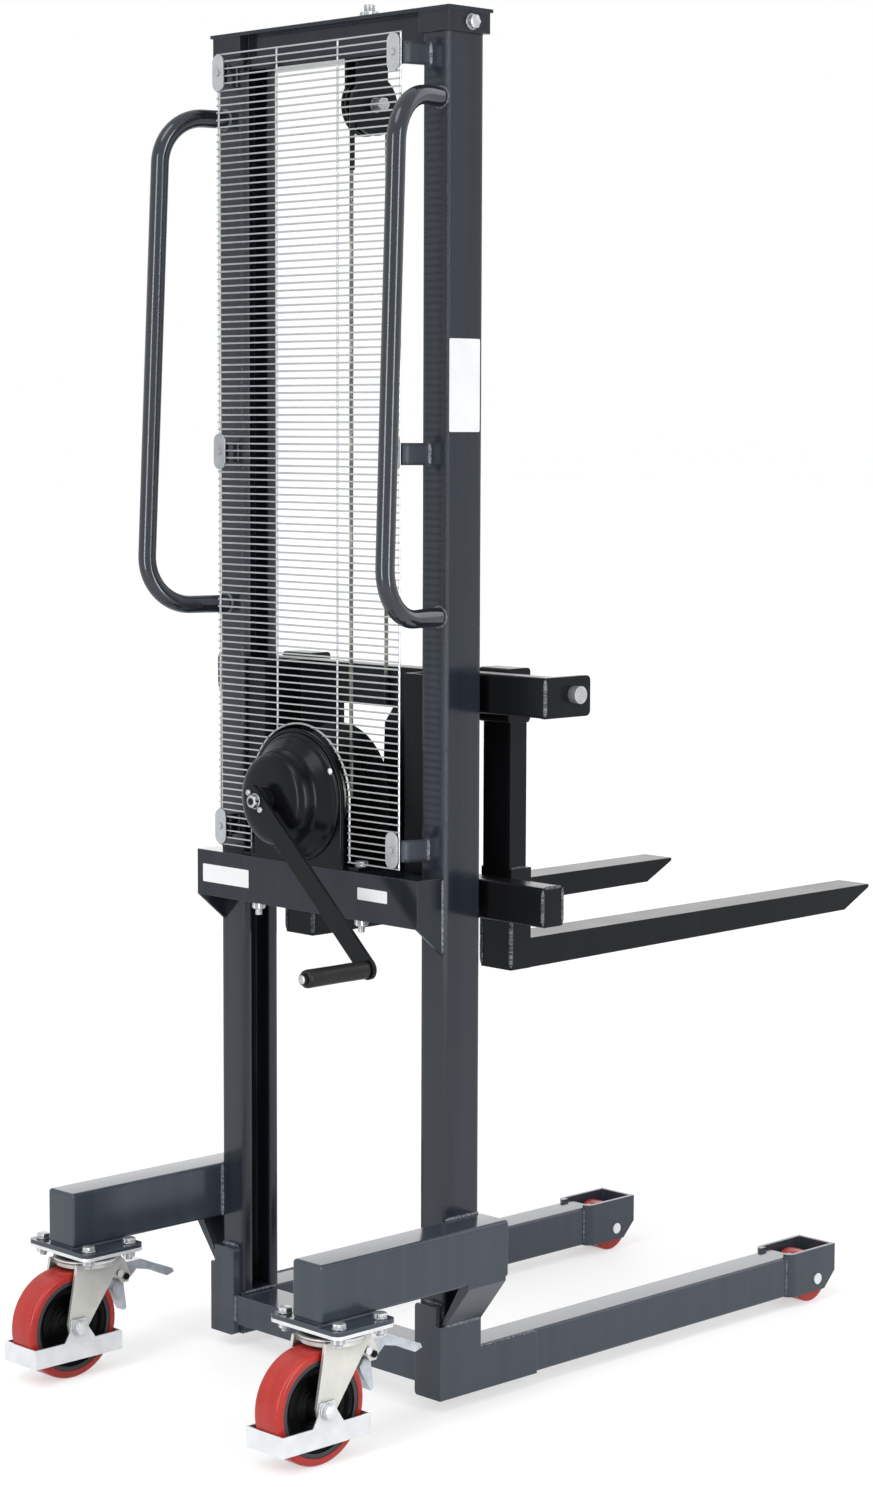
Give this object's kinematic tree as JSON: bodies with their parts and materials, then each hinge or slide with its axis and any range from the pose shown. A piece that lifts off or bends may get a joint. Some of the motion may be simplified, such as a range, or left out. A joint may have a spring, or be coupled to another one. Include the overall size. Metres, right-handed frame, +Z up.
{
  "type": "hand pallet stacker",
  "caption": "Hand pallet stacker: twin masts on straddle legs, a cranked rope winch lifting a carriage with sliding L-forks, rear swivel casters, front load rollers and a mesh guard.",
  "frame": {"origin": "centre of the footprint of the whole object, at floor level under the wheels", "axes": "+X the way the forks point, +Y to the left of the person at the crank, +Z up; the fork carriage is at rest partly raised"},
  "size_m": [1.3348, 0.734, 2.012],
  "materials": {
    "anthracite": "semi-gloss powder coat, anthracite grey",
    "black": "satin black paint",
    "zinc": "bright zinc plating",
    "mesh": "galvanised wire",
    "rope": "stranded wire rope",
    "steel": "turned steel",
    "grip": "matt moulded plastic",
    "core": "black nylon wheel centre",
    "red": "cast red polyurethane"
  },
  "bodies": {
    "frame": {"leg_left": "anthracite", "leg_right": "anthracite", "cross_beam": "anthracite", "mast_left": "anthracite", "mast_right": "anthracite", "arm_left": "anthracite", "arm_right": "anthracite", "top_beam": "anthracite", "cap_bolt_left": "zinc", "cap_bolt_right": "zinc", "handle_left": "anthracite", "handle_right": "anthracite", "shelf": "anthracite", "guard_mesh": "mesh", "clip_top_left": "zinc", "clip_top_right": "zinc", "clip_mid_left": "zinc", "clip_mid_right": "zinc", "clip_low_left": "zinc", "clip_low_right": "zinc", "winch_frame": "black", "winch_bolt_left": "zinc", "winch_bolt_right": "zinc", "winch_cover": "black", "pulley_hanger": "black", "hanger_bolt": "zinc", "pulley_pin": "zinc", "rope_rear": "rope", "rope_front": "rope", "caster_plate_left": "zinc", "caster_plate_right": "zinc", "roller_pin_left": "zinc", "roller_pin_right": "zinc"},
    "drum": {"drum": "black", "rope_turns": "rope"},
    "crank": {"crank": "black"},
    "crank_grip": {"crank_grip": "grip"},
    "sheave": {"sheave": "steel"},
    "carriage": {"carriage_frame": "black", "upper_bar": "black", "lower_bar": "black", "fork_rod": "zinc"},
    "guide_top_left": {"guide_top_left": "steel"},
    "guide_low_left": {"guide_low_left": "steel"},
    "fork_left": {"fork_left": "black"},
    "swivel_left": {"caster_fork_left": "zinc", "foot_guard_left": "zinc"},
    "wheel_left": {"wheel_core_left": "core", "wheel_tread_left": "red"},
    "pedal_left": {"pedal_left": "zinc"},
    "front_roller_left": {"front_roller_left": "red"},
    "guide_top_right": {"guide_top_right": "steel"},
    "guide_low_right": {"guide_low_right": "steel"},
    "fork_right": {"fork_right": "black"},
    "swivel_right": {"caster_fork_right": "zinc", "foot_guard_right": "zinc"},
    "wheel_right": {"wheel_core_right": "core", "wheel_tread_right": "red"},
    "pedal_right": {"pedal_right": "zinc"},
    "front_roller_right": {"front_roller_right": "red"}
  },
  "joints": [
    {"name": "carriage_lift", "type": "slide", "parent": "frame", "child": "carriage", "axis": [0, 0, 1], "range_m": [-0.53, 0.74], "deforming": ["rope_front"]},
    {"name": "drum_spin", "type": "hinge", "parent": "frame", "child": "drum", "pos_m": [-0.3006, 0.016, 0.873], "axis": [1, 0, 0], "range_deg": [-568, 791]},
    {"name": "crank_turn", "type": "hinge", "parent": "frame", "child": "crank", "pos_m": [-0.4276, 0.016, 0.873], "axis": [1, 0, 0], "range_deg": [-2255, 3146]},
    {"name": "grip_spin", "type": "hinge", "parent": "crank", "child": "crank_grip", "pos_m": [-0.4886, -0.22031, 0.65722], "axis": [1, 0, 0], "continuous": true},
    {"name": "sheave_spin", "type": "hinge", "parent": "frame", "child": "sheave", "pos_m": [-0.2571, -0.0385, 1.8695], "axis": [0, 1, 0], "range_deg": [-1217, 873]},
    {"name": "guide_top_left_spin", "type": "hinge", "parent": "carriage", "child": "guide_top_left", "pos_m": [-0.2656, 0.22, 1.03], "axis": [0, 1, 0], "range_deg": [-1031, 1438]},
    {"name": "guide_top_right_spin", "type": "hinge", "parent": "carriage", "child": "guide_top_right", "pos_m": [-0.2656, -0.22, 1.03], "axis": [0, 1, 0], "range_deg": [-1031, 1438]},
    {"name": "guide_low_left_spin", "type": "hinge", "parent": "carriage", "child": "guide_low_left", "pos_m": [-0.2656, 0.22, 0.745], "axis": [0, 1, 0], "range_deg": [-1438, 1031]},
    {"name": "guide_low_right_spin", "type": "hinge", "parent": "carriage", "child": "guide_low_right", "pos_m": [-0.2656, -0.22, 0.745], "axis": [0, 1, 0], "range_deg": [-1438, 1031]},
    {"name": "fork_left_slide", "type": "slide", "parent": "carriage", "child": "fork_left", "axis": [0, 1, 0], "range_m": [-0.14, 0.08]},
    {"name": "swivel_left_turn", "type": "hinge", "parent": "frame", "child": "swivel_left", "pos_m": [-0.5436, 0.274, 0.176], "axis": [0, 0, 1], "continuous": true},
    {"name": "wheel_left_spin", "type": "hinge", "parent": "swivel_left", "child": "wheel_left", "pos_m": [-0.5866, 0.274, 0.08], "axis": [0, 1, 0], "continuous": true},
    {"name": "pedal_left_press", "type": "hinge", "parent": "swivel_left", "child": "pedal_left", "pos_m": [-0.4826, 0.274, 0.134], "axis": [0, 1, 0], "range_deg": [0, 14]},
    {"name": "front_roller_left_spin", "type": "hinge", "parent": "frame", "child": "front_roller_left", "pos_m": [0.5324, 0.2205, 0.04], "axis": [0, 1, 0], "continuous": true},
    {"name": "fork_right_slide", "type": "slide", "parent": "carriage", "child": "fork_right", "axis": [0, 1, 0], "range_m": [-0.08, 0.14]},
    {"name": "swivel_right_turn", "type": "hinge", "parent": "frame", "child": "swivel_right", "pos_m": [-0.5436, -0.274, 0.176], "axis": [0, 0, 1], "continuous": true},
    {"name": "wheel_right_spin", "type": "hinge", "parent": "swivel_right", "child": "wheel_right", "pos_m": [-0.5866, -0.274, 0.08], "axis": [0, 1, 0], "continuous": true},
    {"name": "pedal_right_press", "type": "hinge", "parent": "swivel_right", "child": "pedal_right", "pos_m": [-0.4826, -0.274, 0.134], "axis": [0, 1, 0], "range_deg": [0, 14]},
    {"name": "front_roller_right_spin", "type": "hinge", "parent": "frame", "child": "front_roller_right", "pos_m": [0.5324, -0.2205, 0.04], "axis": [0, 1, 0], "continuous": true}
  ],
  "couplings": [
    {"joint": "drum_spin", "follows": "carriage_lift", "rad_per_m": 18.518},
    {"joint": "crank_turn", "follows": "carriage_lift", "rad_per_m": 74.074},
    {"joint": "sheave_spin", "follows": "carriage_lift", "rad_per_m": -28.571},
    {"joint": "guide_top_left_spin", "follows": "carriage_lift", "rad_per_m": 33.784},
    {"joint": "guide_top_right_spin", "follows": "carriage_lift", "rad_per_m": 33.784},
    {"joint": "guide_low_left_spin", "follows": "carriage_lift", "rad_per_m": -33.784},
    {"joint": "guide_low_right_spin", "follows": "carriage_lift", "rad_per_m": -33.784}
  ]
}
